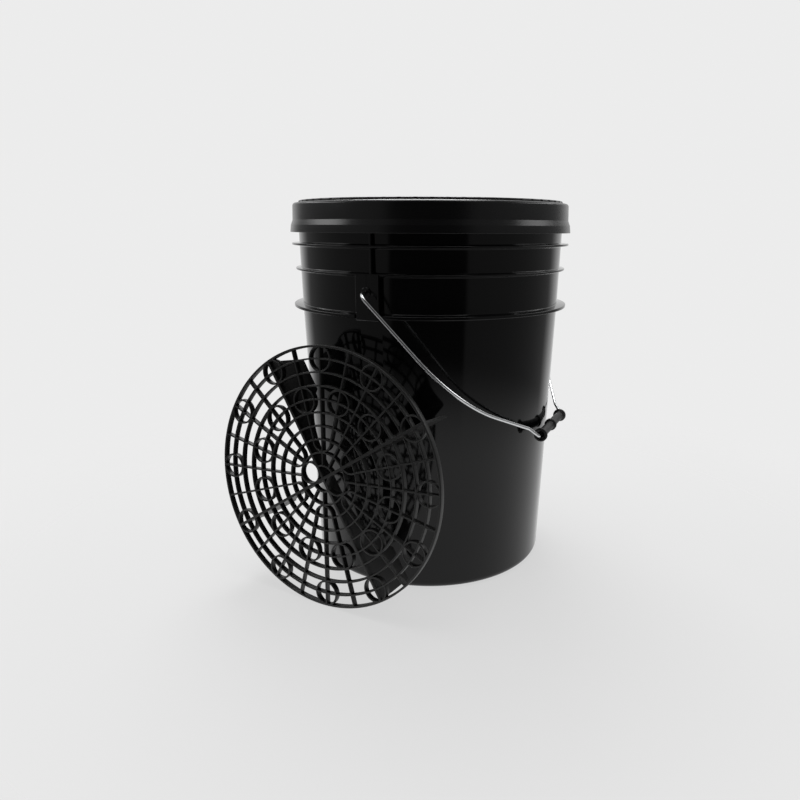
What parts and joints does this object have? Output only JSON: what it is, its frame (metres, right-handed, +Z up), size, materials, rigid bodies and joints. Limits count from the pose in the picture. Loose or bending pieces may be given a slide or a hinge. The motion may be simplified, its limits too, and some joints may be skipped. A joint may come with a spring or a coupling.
{
  "type": "wash bucket",
  "caption": "Round plastic wash bucket with wire bail and grip, a push-on lid ring with screw-in lid, and a round grille insert leaning on its front wall.",
  "frame": {"origin": "centre of the pail's underside, on the floor", "axes": "+Z up the pail's axis; the two bail ears are on the Y axis; the bail hangs on the +X side; the insert leans on the -Y side"},
  "size_m": [0.3191, 0.364, 0.3985],
  "materials": {
    "pail_plastic": "glossy moulded black polyethylene",
    "lid_plastic": "satin moulded black plastic",
    "wire_steel": "bright zinc-coated wire",
    "grip_plastic": "satin moulded black plastic",
    "seal_rubber": "soft black rubber",
    "screen_plastic": "satin moulded black plastic"
  },
  "bodies": {
    "pail": {"pail": "pail_plastic"},
    "ring": {"lid_ring": "lid_plastic", "ring_gasket": "seal_rubber"},
    "seal": {"lid_seal": "seal_rubber"},
    "lid": {"screw_lid": "lid_plastic"},
    "bail": {"bail_wire": "wire_steel"},
    "grip": {"bail_grip": "grip_plastic"},
    "insert": {"dirt_screen": "screen_plastic"}
  },
  "joints": [
    {"name": "ring_lift", "type": "slide", "parent": "pail", "child": "ring", "axis": [0, 0, 1], "range_m": [0, 0.15]},
    {"name": "seal_rise", "type": "slide", "parent": "ring", "child": "seal", "axis": [0, 0, 1], "range_m": [0, 0.0281]},
    {"name": "lid_turn", "type": "hinge", "parent": "seal", "child": "lid", "pos_m": [0, 0, 0.39], "axis": [0, 0, 1], "range_deg": [0, 840]},
    {"name": "bail_swing", "type": "hinge", "parent": "pail", "child": "bail", "pos_m": [0, 0, 0.312], "axis": [0, -1, 0], "range_deg": [0, 250]},
    {"name": "grip_spin", "type": "hinge", "parent": "bail", "child": "grip", "pos_m": [0.14588, 0, 0.16094], "axis": [0, 1, 0], "continuous": true},
    {"name": "screen_tip", "type": "hinge", "parent": "pail", "child": "insert", "pos_m": [-0.03614, -0.19245, 0.0005], "axis": [0.9956, -0.0941, 0], "range_deg": [0, 94.8]}
  ],
  "couplings": [
    {"joint": "seal_rise", "follows": "lid_turn", "m_per_rad": 0.0019099}
  ]
}
